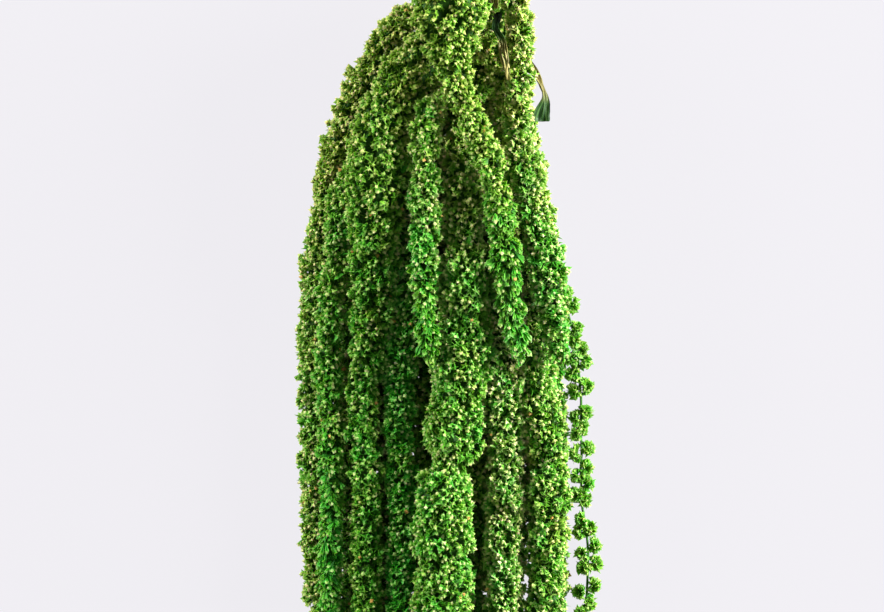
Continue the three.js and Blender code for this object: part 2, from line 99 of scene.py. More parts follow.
def section(triangles, point, normal, reach):
    """Where a plane cuts the triangles' sides, no farther than a reach from a point: a side whose
    ends lie at da and db from the plane crosses it at da / (da - db)."""
    start, end = triangles, np.roll(triangles, -1, axis=1)
    start_off = (start - point) @ normal
    end_off = np.roll(start_off, -1, axis=1)
    crossing = (start_off < 0) != (end_off < 0)
    share = start_off[crossing] / (start_off[crossing] - end_off[crossing])
    found = start[crossing] + share[:, None] * (end - start)[crossing]
    return found[np.linalg.norm(found - point, axis=1) < reach]


def smoothed(values, reach):
    """A moving average over `reach` neighbours on each side, with the end values held."""
    window = np.hanning(2 * reach + 3)[1:-1]
    padded = np.pad(values, ((reach, reach), (0, 0)), mode="edge")
    columns = [np.convolve(c, window / window.sum(), mode="valid") for c in padded.T]
    return np.stack(columns, axis=1)


# %% Walking along a solid
WALK_STEP = 1.5 * MM
MOST_STEPS = 400
TIP_RADIUS = 0.3 * MM
USUAL_RADIUS = 3 * MM
REACH_SHARE = 1.5  # a cut takes in this many of the last radius, and a usual one more
BEND = 0.5  # how far the heading turns at a step


def trace(node):
    """A solid's middle line from its root to its tip, with its width, found by walking up from the
    tip. After each step the heading bends towards the way from the last middle to this one."""
    triangles = triangles_of(node)
    corners = triangles.reshape(-1, 3)
    point = corners[corners[:, 1].argmin()]
    heading = np.array([0.0, 1.0, 0.0])
    radius = USUAL_RADIUS
    centres, radii = [point], [TIP_RADIUS]
    for _ in range(MOST_STEPS):
        ahead = point + WALK_STEP * heading
        ring = section(triangles, ahead, heading, REACH_SHARE * radius + USUAL_RADIUS)
        if len(ring) < 3:
            break
        centre = ring.mean(axis=0)
        radius = np.linalg.norm(ring - centre, axis=1).max()
        way = centre - point
        heading = heading + BEND * way / np.linalg.norm(way)
        heading /= np.linalg.norm(heading)
        centres.append(centre)
        radii.append(radius)
        point = centre
    return np.array(centres[::-1]), np.array(radii[::-1])


# %% Lines with a width
FINE, BROAD = 1, 6  # points on each side in the two averages of a width


class Line:
    """A middle line with its width, run and two directions across it at every point. The width is
    sharpened: what a short average has over a long one is added once more."""

    def __init__(self, centres, radii, smooth=4):
        self.centre = smoothed(centres, smooth)
        fine, broad = (smoothed(radii[:, None], reach)[:, 0] for reach in (FINE, BROAD))
        self.radius = fine + (fine - broad)
        steps = np.linalg.norm(np.diff(self.centre, axis=0), axis=1)
        self.run = np.concatenate([[0], np.cumsum(steps)])
        along = np.gradient(self.centre, axis=0)
        self.along = along / np.linalg.norm(along, axis=1, keepdims=True)
        across = UP - (self.along @ UP)[:, None] * self.along
        across[:, 0] += 1e-6
        self.across = across / np.linalg.norm(across, axis=1, keepdims=True)
        self.beside = np.cross(self.along, self.across)

    def at(self, run):
        """Middle, width and the three directions at any runs along the line."""
        take = [np.interp(run, self.run, c) for c in self.centre.T]
        axes = []
        for field in (self.along, self.across, self.beside):
            axis = np.stack([np.interp(run, self.run, c) for c in field.T], axis=1)
            axes.append(axis / np.linalg.norm(axis, axis=1, keepdims=True))
        return np.stack(take, axis=1), np.interp(run, self.run, self.radius), *axes


# %% Middle lines of the tassels
# Where ripe florets swell a tassel: from and to which height in the picture, how far out and how
# far to the right, all in mm.
SWOLLEN = {
    "left_third_tassel": (-14, 46, 2.0, 1.7),
    "left_fourth_tassel": (-14, 30, 1.5, 0.3),
    "main_tassel": (-20, 12, 1.6, 1.2),
    "front_curved_tassel": (-20, 12, 0.9, 0.3),
    "right_inner_tassel": (-28, 4, 3.0, 0.6),
    "right_outer_tassel": (-28, 6, 1.8, -3.4),
}
SWELL_EASE = 8  # mm over which a swelling begins and ends
BACK_FULLER = 1.2 * MM  # the back tassels fill out under the gaps between the front ones
TIP_LONGER = 3 * MM  # the young tips of the two front tassels are drawn out
TIP_RUN = 30 * MM
ROOT_RUN, ROOT_SHARE = (14, 24), (0.5, 1)  # mm along, and shares of the width there
TASSELS = sorted(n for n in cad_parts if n.endswith("tassel") or n.startswith("back_tassel"))
lines = {}
for name in TASSELS:
    centres, radii = trace(name)
    start, stop, wider, aside = SWOLLEN.get(name, (0, 0, 0, 0))
    ease = (start - SWELL_EASE, start, stop, stop + SWELL_EASE)
    swell = np.interp(picture_height(centres), ease, (0, 1, 1, 0)) * MM
    centres[:, 0] += aside * swell
    radii = radii + wider * swell
    fuller = BACK_FULLER if name.startswith("back") else 0
    line = lines[name] = Line(centres, radii + fuller)
    if name.startswith("front"):
        drawn_out = np.interp(line.run[-1] - line.run, (0, TIP_RUN), (TIP_LONGER, 0))
        line.centre += drawn_out[:, None] * line.along
    if name == "left_edge_tassel":  # its root is thin under those of its neighbours
        line.radius *= np.interp(line.run / MM, ROOT_RUN, ROOT_SHARE)
    print(f"{name}: {line.run[-1] / MM:.0f} mm long, {line.radius.max() / MM:.1f} mm widest")

# %% [markdown]
# ## Colours
#
# Every piece takes its colour from a two-way chart: across runs from the dark foot of a floret, which
# is painted shade, to its cream seed, and up runs from rust through the olive of the aged florets to
# the vivid green of the young ones. A floret's corners are pinned to that chart, so one material
# covers all the tassels. A noise pattern could vary the green too, but it would not know where a
# floret's tips and foot are.


# %% Colour helpers
def linear(code):
    """An sRGB hex colour as linear red, green, blue and full alpha."""
    srgb = np.array([int(code[i : i + 2], 16) for i in (1, 3, 5)]) / 255
    values = np.where(srgb <= 0.04045, srgb / 12.92, ((srgb + 0.055) / 1.055) ** 2.4)
    return (*values, 1.0)


def add_node(tree, kind, settings=(), links=()):
    """Adds a node, sets its properties or sockets, and links other nodes' sockets into it."""
    node = tree.nodes.new(kind)
    for key, value in dict(settings).items():
        if isinstance(key, str) and hasattr(node, key):
            setattr(node, key, value)
        else:
            node.inputs[key].default_value = value
    for key, source in dict(links).items():
        tree.links.new(source, node.inputs[key])
    return node


# %% Colour charts
SOAK_DEPTH = 0.8 * MM  # how far light soaks into a papery tepal
SOAK_COLOUR = (0.5, 1.0, 0.25)  # green light gets farthest
DULL = 0.2  # plant skin has little shine


def chart_material(name, rows, roughness, glow=0.0):
    """A matte material whose colour is a place on a chart: each row is a ramp at its own height up
    the chart. A share of the light, its glow, soaks a little way in and comes out green."""
    material = bpy.data.materials.new(name)
    material.use_nodes = True
    tree = material.node_tree
    tree.nodes.clear()
    chart = add_node(tree, "ShaderNodeUVMap", {"uv_map": "OFBake"})
    split = add_node(tree, "ShaderNodeSeparateXYZ", links={0: chart.outputs[0]})
    colour = below = None
    for place, stops in rows:
        ramp = add_node(tree, "ShaderNodeValToRGB", links={0: split.outputs[0]})
        elements = ramp.color_ramp.elements
        while len(elements) < len(stops):
            elements.new(0.5)
        for element, (position, code) in zip(elements, stops):
            element.position = position
            element.color = linear(code)
        if colour is None:
            colour = ramp.outputs[0]
        else:
            limits = {1: below, 2: place}
            share = add_node(tree, "ShaderNodeMapRange", limits, {0: split.outputs[1]})
            sources = {0: share.outputs[0], 6: colour, 7: ramp.outputs[0]}
            colour = add_node(tree, "ShaderNodeMix", {"data_type": "RGBA"}, sources).outputs[2]
        below = place
    settings = {"Roughness": roughness, "Specular IOR Level": DULL, "Subsurface Weight": glow}
    settings |= {"Subsurface Radius": SOAK_COLOUR, "Subsurface Scale": SOAK_DEPTH}
    shader = add_node(tree, "ShaderNodeBsdfPrincipled", settings, {"Base Color": colour})
    add_node(tree, "ShaderNodeOutputMaterial", links={"Surface": shader.outputs[0]})
    return material


# %% Materials
# Aged florets run from brown-green feet through olive tepals to straw seeds, and young ones from deep
# green through emerald to a pale lime seed. The dark feet, and the notches between the tepals, are
# painted shade of the crevices under and between the tepals. The jump from that painted shade to the
# bright seed is what makes the skin read as separate florets, and a rusty one here and there shows
# that the head has dried.
RUSTY, OLIVE, VIVID = 0.02, 0.1, 1.0
STOPS = (0.0, 0.25, 0.52, 0.74, 0.86, 1.0)
RUST_RAMP = ("#1a1204", "#4f3a14", "#7d5f28", "#a07c3c", "#b8944f", "#ccab6a")
OLIVE_RAMP = ("#142e02", "#345a08", "#6a8e20", "#96a84c", "#b8b76e", "#d0c58c")
VIVID_RAMP = ("#083c04", "#136809", "#2f921a", "#60ab4a", "#9cba74", "#c6ce98")
FLORETS = chart_material(
    "papery_florets_dried",
    [
        (RUSTY, list(zip(STOPS, RUST_RAMP))),
        (OLIVE, list(zip(STOPS, OLIVE_RAMP))),
        (VIVID, list(zip(STOPS, VIVID_RAMP))),
    ],
    roughness=0.65,
    glow=0.4,
)
# Shrivelled leaves: tan along the narrow part, dark green where the blade stays whole.
DRY_LEAF = chart_material(
    "dried_leaf_crinkled",
    [
        (0.0, [(0.0, "#28270d"), (0.5, "#605a28"), (1.0, "#9c9356")]),
        (1.0, [(0.0, "#0a1c06"), (0.5, "#1b3c12"), (1.0, "#4d6f36")]),
    ],
    roughness=0.55,
)
# The stem: green-brown ridges with darker grooves between them, dull as any fresh stalk. Its green is
# darkened as painted shade of the hollow among the tassels' roots where it lies.
STEM = chart_material(
    "ridged_green_stem", [(0.0, [(0.0, "#1c2c0b"), (1.0, "#526a29")])], roughness=0.65
)
print("materials:", [m.name for m in (FLORETS, DRY_LEAF, STEM)])

# %% [markdown]
# ## Making meshes
#
# A tassel has thousands of corners. They are worked out as whole tables and handed to the mesh in one
# go, because adding them one at a time would take minutes.

# %% Mesh helpers
FLOOR_GAP = 0.1 * MM  # nothing reaches lower than this


def make_piece(name, parts, material, replaced):
    """A mesh of several (points, triangles, chart) groups, which rides on the head in place of a
    solid."""
    starts = np.cumsum([0] + [len(p) for p, _, _ in parts])
    points = np.concatenate([p for p, _, _ in parts])
    faces = np.concatenate([f + s for (_, f, _), s in zip(parts, starts)])
    chart = np.concatenate([c for _, _, c in parts])
    points[:, 2] = np.maximum(points[:, 2], FLOOR_GAP)
    mesh = bpy.data.meshes.new(name)
    mesh.from_pydata(points, [], faces)
    layer = mesh.uv_layers.new(name="OFBake")
    layer.data.foreach_set("uv", chart[faces.ravel()].astype(np.float32).ravel())
    mesh.materials.append(material)
    piece = bpy.data.objects.new(name, mesh)
    bpy.context.scene.collection.objects.link(piece)
    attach(piece, "root")
    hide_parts(replaced)
    return piece


# %% Skins through rings
def loft(rings, chart):
    """A closed skin through rings of corners, with a middle corner to close each end."""
    count, sides = rings.shape[:2]
    points = np.concatenate([rings.reshape(-1, 3), rings[[0, -1]].mean(axis=1)])
    row, column = np.meshgrid(np.arange(count - 1) * sides, np.arange(sides), indexing="ij")
    a, b = row + column, row + (column + 1) % sides
    i, j, end = np.arange(sides), (np.arange(sides) + 1) % sides, (count - 1) * sides
    groups = [
        np.stack([a, b, b + sides], -1).reshape(-1, 3),
        np.stack([a, b + sides, a + sides], -1).reshape(-1, 3),
        np.stack([j, i, np.full(sides, count * sides)], -1),
        np.stack([end + i, end + j, np.full(sides, count * sides + 1)], -1),
    ]
    chart = np.broadcast_to(chart, (count, sides, 2))
    chart = np.concatenate([chart.reshape(-1, 2), chart[[0, -1]].mean(axis=1)])
    return points, np.concatenate(groups), chart


def rings_round(line, run, radius, angle):
    """Rings about a line: the middle plus the radius times the cosine across and the sine beside."""
    centre, _, _, across, beside = line.at(run)
    spokes = across[:, None] * np.cos(angle)[:, None] + beside[:, None] * np.sin(angle)[:, None]
    return centre[:, None] + radius[..., None] * spokes


# %% [markdown]
# ## A floret
#
# A floret is a star of five pointed tepals round a pale seed. The star is one closed body: a foot sunk
# in the cluster, a ring of tepal points with notches between them, and a raised middle. The seed is an
# eight-sided bead that sits in it. That is enough for something two millimetres wide, and no two are
# alike, because every corner is moved a little. Copies of one exact star would show as a pattern.

# %% Floret shapes
TEPAL_COUNT = 5
NOTCH_REACH = 0.34  # as a share of the tepals' reach


def tepal_shape():
    """Corners, triangles, chart columns and raggedness of a star that points up and reaches one at
    its tepals: corners at equal turns, with every second one drawn in and lower."""
    count = 2 * TEPAL_COUNT
    angle = np.arange(count) * np.pi / TEPAL_COUNT
    tepal = np.arange(count) % 2 == 0
    reach = np.where(tepal, 1.0, NOTCH_REACH)
    height = np.where(tepal, 1.1, 0.6)
    ring = np.stack([reach * np.cos(angle), reach * np.sin(angle), height], axis=1)
    middle, foot = [0, 0, 1.2], [0, 0, -0.5]
    points = np.concatenate([ring, [middle, foot]])
    i, j = np.arange(count), (np.arange(count) + 1) % count
    upper = np.stack([i, j, np.full(count, count)], axis=-1)
    lower = np.stack([j, i, np.full(count, count + 1)], axis=-1)
    # The notches and the foot sit low on the chart: painted shade under and between the tepals.
    column = np.concatenate([np.where(tepal, 0.7, 0.36), [0.72, 0.06]])
    ragged = np.concatenate([np.where(tepal, 0.22, 0.07), [0.15, 0.0]])
    return points, np.concatenate([upper, lower]), column, ragged


def seed_shape():
    """An eight-sided bead of unit size, whose top half is the palest."""
    belt = [[1, 0, 0], [0, 1, 0], [-1, 0, 0], [0, -1, 0]]
    points = np.array([*belt, [0, 0, 1], [0, 0, -1]], float)
    i, j = np.arange(4), (np.arange(4) + 1) % 4
    upper = np.stack([i, j, np.full(4, 4)], axis=-1)
    lower = np.stack([j, i, np.full(4, 5)], axis=-1)
    column = np.array([0.84] * 4 + [0.98, 0.7])
    return points, np.concatenate([upper, lower]), column, np.full(6, 0.12)


TEPALS = tepal_shape()
SEED = seed_shape()
print("faces of a star and a seed:", len(TEPALS[1]), len(SEED[1]))


# %% Seating small shapes
def square_to(way):
    """Two directions square to each given way and to each other."""
    helper = np.where(np.abs(way[:, 2:]) < 0.9, UP, [1.0, 0.0, 0.0])
    side = np.cross(helper, way)
    side /= np.linalg.norm(side, axis=1, keepdims=True)
    return side, np.cross(way, side)


def unit(way):
    """The same directions with a length of one."""
    return way / np.linalg.norm(way, axis=-1, keepdims=True)


def seated(shape, seat, pointing, width, tall, tint, chart_reach):
    """Ragged copies of a small shape, each spun at random, turned to point its way, sized and put on
    its seat. Their tint runs from 0, olive, to 1, vivid, and is below 0 where they are rusty."""
    points, faces, column, ragged = shape
    points = points + ragged[:, None] * rng.normal(size=(len(seat), *points.shape))
    spin = rng.uniform(0, 2 * np.pi, (len(seat), 1))
    side, other = square_to(pointing)
    first = np.cos(spin) * side + np.sin(spin) * other
    second = np.cross(pointing, first)
    axes = [first * width[:, None], second * width[:, None], pointing * tall[:, None]]
    placed = seat[:, None] + np.einsum("nkc,ncd->nkd", points, np.stack(axes, axis=1))
    numbers = (np.arange(len(seat)) * len(column))[:, None, None] + faces
    across = np.clip(column * chart_reach[:, None], 0, 1)
    height = np.where(tint < 0, RUSTY, OLIVE + (VIVID - OLIVE) * np.clip(tint, 0, 1))
    chart = np.stack([across, np.broadcast_to(height[:, None], across.shape)], axis=-1)
    return placed.reshape(-1, 3), numbers.reshape(-1, 3), chart.reshape(-1, 2)


# %% [markdown]
# ## Which florets can be seen
#
# Tassels lie against each other, and florets that face a neighbour can't be seen from anywhere. A fan
# of rays from each seat tests whether it looks out between the solids, and hidden florets are left
# out, which saves their triangles.

# %% What the solids hide
corners = np.concatenate([triangles_of(n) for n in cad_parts]).reshape(-1, 3)
faces = np.arange(len(corners)).reshape(-1, 3)
solids = BVHTree.FromPolygons(corners.tolist(), faces.tolist())
FAN_RAYS = 12
FAN_LEAN = 1.05  # just over 1 keeps every ray of the fan on the outward side
RAYS_ABOVE = np.array([[0, 0, 1], [0.15, 0, 1], [-0.15, 0, 1], [0, 0.2, 1], [0, -0.2, 1.0]])
print("triangles that can hide a floret:", len(faces))


def ball_directions(count):
    """Directions spread evenly over a ball: equal steps in height and golden-angle turns."""
    k = np.arange(count) + 0.5
    height = 1 - 2 * k / count
    flat = np.sqrt(1 - height**2)
    turn = GOLDEN_TURN * k
    return np.stack([flat * np.cos(turn), flat * np.sin(turn), height], axis=1)


def open_to_view(seats, outward):
    """True for the seats where a ray gets away: a fan round the outward direction, and a narrow one
    straight up."""
    fans = ball_directions(FAN_RAYS)[None] + FAN_LEAN * outward[:, None]
    above = np.broadcast_to(RAYS_ABOVE, (len(seats), *RAYS_ABOVE.shape))
    fans = np.concatenate([above, fans], axis=1)
    seen = np.zeros(len(seats), bool)
    for k, (seat, fan) in enumerate(zip(seats.tolist(), fans.tolist())):
        seen[k] = any(solids.ray_cast(seat, ray)[0] is None for ray in fan)
    return seen


# %% [markdown]
# ## Tassels
#
# Florets sit round the axis by the golden angle, shaken a little, which spreads them evenly without
# rows. They stand highest in the middle of each cluster and sink into the seams between clusters,
# where their colour is darkened as painted shade, and they splay away from the cluster's middle.
# Young ends have longer florets that lie down towards the tip like fur. A bump pattern on a plain
# tube would be lighter, but its outline would stay smooth.

# %% Seats on a tassel
FULLNESS = 1.0 * MM  # tepals reach this far past the measured solid
LEAST_RADIUS = 0.5 * MM
HONEYCOMB = 0.87  # a seat takes this share of a square of its pitch


def spiral(line, pitch, sunk, shake):
    """Runs and turns of seats on a tassel: one for each patch of skin, each a golden angle on from
    the last."""
    radius = np.maximum(line.radius + FULLNESS - sunk, LEAST_RADIUS)
    slope = np.gradient(line.radius, line.run)
    room = 2 * np.pi * radius * np.sqrt(1 + slope**2) / (HONEYCOMB * pitch**2)
    count = np.concatenate([[0], np.cumsum((room[1:] + room[:-1]) / 2 * np.diff(line.run))])
    number = np.arange(int(count[-1]))
    run = np.interp(number + 0.5, count, line.run) + rng.normal(0, shake * pitch, len(number))
    run = np.clip(run, 0, line.run[-1])
    near = np.interp(run, line.run, radius)
    return run, GOLDEN_TURN * number + rng.normal(0, shake * pitch, len(number)) / near


def skin_at(line, run, turn):
    """Middle, radius, spoke, outward direction and direction along of a tassel's skin at runs and
    turns. Outward is the spoke, tilted by the slope of the outline."""
    centre, radius, along, across, beside = line.at(run)
    spoke = np.cos(turn)[:, None] * across + np.sin(turn)[:, None] * beside
    slope = np.interp(run, line.run, np.gradient(line.radius, line.run))
    return centre, radius, spoke, unit(spoke - np.clip(slope, -3, 1)[:, None] * along), along


# %% Relief of a tassel
CLUSTER_PITCH = 5.4 * MM  # between neighbouring clusters
SEAM_DEPTH = 2.6 * MM  # of the seams between clusters
BULGE_PITCH = 11.4 * MM  # between bulges of several clusters
BULGE_DEPTH = 2.1 * MM
LUMP_SHAKE = 0.12  # as a share of a lump's pitch
LUMP_REACH = 0.6  # from its middle to its seam, as a share of its pitch
LUMP_TINT = 0.08  # how much lumps differ in tint
CROWN_FROM, CROWN_EASE = 35, 25  # mm up the picture: where the crown begins, and how gradually
USUAL_SEAM, CROWN_SEAM = 0.85, 0.4  # of a seam's depth: everywhere, and so much more at the crown
SLIM_UNDER, SLIM_EASE = 4, 3  # mm of radius: slim tassels have lower bulges
SLIM_BULGE = 0.9
DEEPEST = 1.2  # seams go no deeper than this many times their depth


def lumps(line, pitch):
    """Lumps spread over a tassel. The function it returns tells how far places on the skin are from
    the middle of their lump, in shares of a lump, and the tint of that lump."""
    run, turn = spiral(line, pitch, 0, LUMP_SHAKE)
    centre, radius, spoke, _, _ = skin_at(line, run, turn)
    middle = centre + radius[:, None] * spoke
    tint = rng.normal(0, LUMP_TINT, len(run))

    def nearest(skin):
        blocks = np.array_split(skin, max(len(skin) // 500, 1))
        mine = np.concatenate([((b[:, None] - middle) ** 2).sum(-1).argmin(1) for b in blocks])
        return (skin - middle[mine]) / (LUMP_REACH * pitch), tint[mine]

    return nearest


def relief(line):
    """The skin's relief: it sinks by the square of the way to the middle of a cluster, more so near
    the crown, and of a bulge of several clusters, a little less so on slim tassels."""
    cluster, bulge = lumps(line, CLUSTER_PITCH), lumps(line, BULGE_PITCH)

    def sink(skin, radius):
        away, tint = cluster(skin)
        far, broad_tint = bulge(skin)
        crown = np.clip((picture_height(skin) - CROWN_FROM) / CROWN_EASE, 0, 1)
        fat = np.maximum((radius / MM - SLIM_UNDER) / SLIM_EASE, crown)
        seam = np.clip((away**2).sum(-1), 0, DEEPEST)
        drop = (USUAL_SEAM + CROWN_SEAM * crown) * SEAM_DEPTH * seam
        height = np.clip(fat, SLIM_BULGE, 1) * BULGE_DEPTH
        drop += height * np.clip((far**2).sum(-1), 0, DEEPEST)
        return drop, seam, away, tint + broad_tint

    return sink


# %% Inside of a tassel
CORE_SUNK = 2.15 * MM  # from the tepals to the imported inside
CORE_STEP = 2 * MM
CORE_SIDES = 20
# The core is painted dark: painted shade of the deep florets that it stands for.
CORE_PAINTED_SHADE_CHART = (0.12, 0.4)  # dark green


def core(line, sink, coarse):
    """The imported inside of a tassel: rings that stay under the florets, seams and all."""
    count = max(int(line.run[-1] / (coarse * CORE_STEP)), 8)
    stations = np.linspace(0, line.run[-1], count)
    turn = np.linspace(0, 2 * np.pi, int(CORE_SIDES / coarse), endpoint=False)
    run, around = (grid.ravel() for grid in np.meshgrid(stations, turn, indexing="ij"))
    centre, radius, spoke, _, _ = skin_at(line, run, around)
    drop = sink(centre + radius[:, None] * spoke, radius)[0]
    girth = np.maximum(radius + FULLNESS - drop - CORE_SUNK, LEAST_RADIUS)
    rings = (centre + girth[:, None] * spoke).reshape(len(stations), len(turn), 3)
    return loft(rings, CORE_PAINTED_SHADE_CHART)


# %% Florets of a tassel
FLORET_PITCH = 1.95 * MM
FLORET_SHAKE = 0.2  # as a share of the pitch
FLORET_REACH = 1.4 * MM  # from a floret's middle to its tepals' points
FLORET_HEIGHT = 1.5 * MM
SIZE_SPREAD = (0.8, 1.15)
UNEVEN = 0.25 * MM  # how much florets differ in how far they stand out
SPLAY, STRAY = 0.75, 0.28  # away from the middle of the cluster, and at random
LEAN, FUR_LEAN = 0.2, 0.9  # towards the tip, and so much more in young fur
FUR_LONGER, FUR_SLIMMER = 0.7, 0.35
STAR_MIDDLE = 1.2  # from a star's seat to its raised middle, in star heights
TINT_SPREAD = 0.1
RIPE_SPREAD = (0.84, 1.1)  # how far across the chart florets reach
# How far florets in the seams drop across the chart: painted shade.
SEAM_PAINTED_SHADE = 0.36
VIEW_LIFT = 0.5 * MM  # a floret looks out from this far above the skin
BACK_COARSE = 1.15  # the back tassels, seen only through gaps and from below, have larger florets

# Seeds: most florets show one, but fewer do in young fur and in the seams.
SEED_RADIUS = 0.7 * MM
SEED_TALL = 1.2  # in seed radii
SEED_SHARE, FUR_FEWER, SEAM_FEWER = 0.9, 0.4, 0.5
SEED_MIDDLE, SEED_UNEVEN = 1.1, (0.9, 1.15)  # above the star's seat, in star heights
# The seeds take a share of their floret's painted light and shade.
SEED_TINT, SEED_PAINTED_LIGHTING = 0.75, 0.4  # shares of the tepals' tint and paleness
SEED_RIPE = (0.78, 1)
RUSTY_SHARE = 0.012


def tassel(name, line, look, coarse=1.0):
    """A tassel's core, tepals and seeds as one mesh, coarser where little of it shows. A star's middle
    is the tassel's axis plus a rise along the spoke, and its seat lies a star's height behind that."""
    run, turn = spiral(line, coarse * FLORET_PITCH, LEAST_RADIUS, FLORET_SHAKE)
    centre, radius, spoke, outward, along = skin_at(line, run, turn)
    skin = centre + radius[:, None] * spoke
    kept = open_to_view(skin + VIEW_LIFT * outward, outward)
    centre, radius, spoke, outward, along, skin = (
        field[kept] for field in (centre, radius, spoke, outward, along, skin)
    )
    count = len(skin)
    sink = relief(line)
    drop, seam, away, lump_tint = sink(skin, radius)
    tint, fur, painted_lighting = look(skin)
    rise = np.maximum(radius + FULLNESS - drop + rng.normal(0, UNEVEN, count), LEAST_RADIUS)
    middle = centre + rise[:, None] * spoke
    lean = (LEAN + FUR_LEAN * fur)[:, None] * along
    pointing = unit(outward + SPLAY * away + lean + rng.normal(0, STRAY, skin.shape))
    size = coarse * rng.uniform(*SIZE_SPREAD, count)
    height = FLORET_HEIGHT * size * (1 + FUR_LONGER * fur)
    width = FLORET_REACH * size * (1 - FUR_SLIMMER * fur)
    seat = middle - STAR_MIDDLE * height[:, None] * pointing
    tint = np.clip(tint + lump_tint + rng.normal(0, TINT_SPREAD, count), 0, 1)
    # How far across the chart: a random spread, less in the seams as painted shade, plus the look's
    # painted light and shade.
    chart_reach = rng.uniform(*RIPE_SPREAD, count) - SEAM_PAINTED_SHADE * seam + painted_lighting
    stars = seated(TEPALS, seat, pointing, width, height, tint, chart_reach)
    seeded = rng.random(count) < SEED_SHARE - FUR_FEWER * fur - SEAM_FEWER * seam
    above = SEED_MIDDLE * height * rng.uniform(*SEED_UNEVEN, count)
    bead = (seat + above[:, None] * pointing)[seeded]
    bead_size = coarse * SEED_RADIUS * rng.uniform(*SIZE_SPREAD, seeded.sum())
    tint = np.where(rng.random(count) < RUSTY_SHARE, -1, SEED_TINT * tint)[seeded]
    chart_reach = rng.uniform(*SEED_RIPE, seeded.sum()) + SEED_PAINTED_LIGHTING * painted_lighting[seeded]
    tall = SEED_TALL * bead_size
    seeds = seated(SEED, bead, pointing[seeded], bead_size, tall, tint, chart_reach)
    parts = [core(line, sink, coarse), stars, seeds]
    piece = make_piece(f"{name}_florets", parts, FLORETS, name)
    print(f"{name}: {count} florets of {len(run)}, {len(piece.data.polygons)} triangles")
    return piece


# %% Looks along the tassels
# Heights at which each look's painted light and shade is given.
PAINTED_LIGHTING_HEIGHTS = (-25, 25, 75)  # mm up the picture: low, midway and high
AGED_FROM, AGED_EASE = 10, 60  # mm up the picture: where tepals turn olive, and how gradually
AGED_BY = 0.55
FUR_EASE = 30  # mm over which young fur sets in


def ageing(base, painted_lighting=(0, 0, 0), young_from=None, younger=0.2):
    """The look along a tassel: olive near the stem, paler or darker low, midway and high as painted
    light and shade, and greener young fur below a given height in the picture."""

    def look(skin):
        y = picture_height(skin)
        tint = base - AGED_BY * np.clip((y - AGED_FROM) / AGED_EASE, 0, 1)
        fur = 0 * y if young_from is None else np.clip((young_from - y) / FUR_EASE, 0, 1)
        return tint + younger * fur, fur, np.interp(y, PAINTED_LIGHTING_HEIGHTS, painted_lighting)

    return look


# Each look's second value is painted light and shade: paler where a tassel catches light, darker where
# its neighbours shade it, low, midway and high.
LOOKS = {
    "left_edge_tassel": ageing(0.35, (0.1, 0.14, 0.14)),
    "left_second_tassel": ageing(0.65, (-0.1, -0.06, 0), -30),
    "left_third_tassel": ageing(0.62, (-0.18, -0.08, 0)),
    "left_fourth_tassel": ageing(0.9, (-0.08, 0.14, 0.12)),
    "main_tassel": ageing(0.6, (-0.06, 0.16, -0.04)),
    "front_slim_tassel": ageing(0.74, (-0.18, 0.04, 0.04), 25, 0.06),
    "front_curved_tassel": ageing(0.6, (0.1, -0.06, -0.1), 40),
    "right_inner_tassel": ageing(0.6, (0.22, 0.26, 0.2)),
    "right_outer_tassel": ageing(0.45, (0.01, 0.3, 0.12)),
    "right_edge_tassel": ageing(0.68, (0, 0.1, 0.2)),
}
USUAL_LOOK = ageing(0.55)

# %% Tassels
total = 0
for name in TASSELS:
    coarse = BACK_COARSE if name.startswith("back") else 1.0
    piece = tassel(name, lines[name], LOOKS.get(name, USUAL_LOOK), coarse)
    total += len(piece.data.polygons)
print("triangles on tassels:", total)

# %% [markdown]
# ## The beaded string
#
# One side shoot is so sparse that its clusters hang like beads, a pair at a time, with the axis bare
# between them. Level cuts through its solid show how far it reaches to the left and right: where a
# side bulges there is a bead, and a small ball of florets goes there. A slim tassel made by the rule
# above would close the gaps between the beads.


# %% Level cuts
def level_cuts(node, step):
    """Cuts across Y, from the highest down, as a list of point rings."""
    triangles = triangles_of(node)
    low, high = triangles[..., 1].min(), triangles[..., 1].max()
    levels = np.arange(high - 0.2 * MM, low, -step)
    facing = np.array([0.0, 1.0, 0.0])
    return [section(triangles, np.array([0, y, 0]), facing, 1.0) for y in levels]


cuts = level_cuts("beaded_string", 0.5 * MM)
# The first beads nestle against the tassel that the string hangs from, and lower ones swing out: at
# these heights in the picture, by so many mm to the right.
SWING_HEIGHTS = (-85, -78, -45, -36, -8, 6)
SWING = (0, 1.2, 0.8, 0.4, 0, -2.6)
for cut in cuts:
    cut[:, 0] += np.interp(picture_height(cut[0]), SWING_HEIGHTS, SWING) * MM
print("cuts through the string:", len(cuts))

# %% Axis of the string
AXIS_RADIUS = 0.42 * MM
AXIS_STEP, AXIS_SIDES = 2 * MM, 6
AXIS_SMOOTH = 14  # cuts on each side, which takes the beads' wobble out of the axis
AXIS_CHART = (0.22, 0.5)  # mid green
middles = np.array([(c.min(axis=0) + c.max(axis=0)) / 2 for c in cuts])
axis = Line(middles, np.full(len(middles), LEAST_RADIUS), smooth=AXIS_SMOOTH)
stations = np.arange(0, axis.run[-1], AXIS_STEP)
angle = np.linspace(0, 2 * np.pi, AXIS_SIDES, endpoint=False)
radius = np.full((len(stations), AXIS_SIDES), AXIS_RADIUS)
string_parts = [loft(rings_round(axis, stations, radius, angle), AXIS_CHART)]
print(f"string: {axis.run[-1] / MM:.0f} mm long")

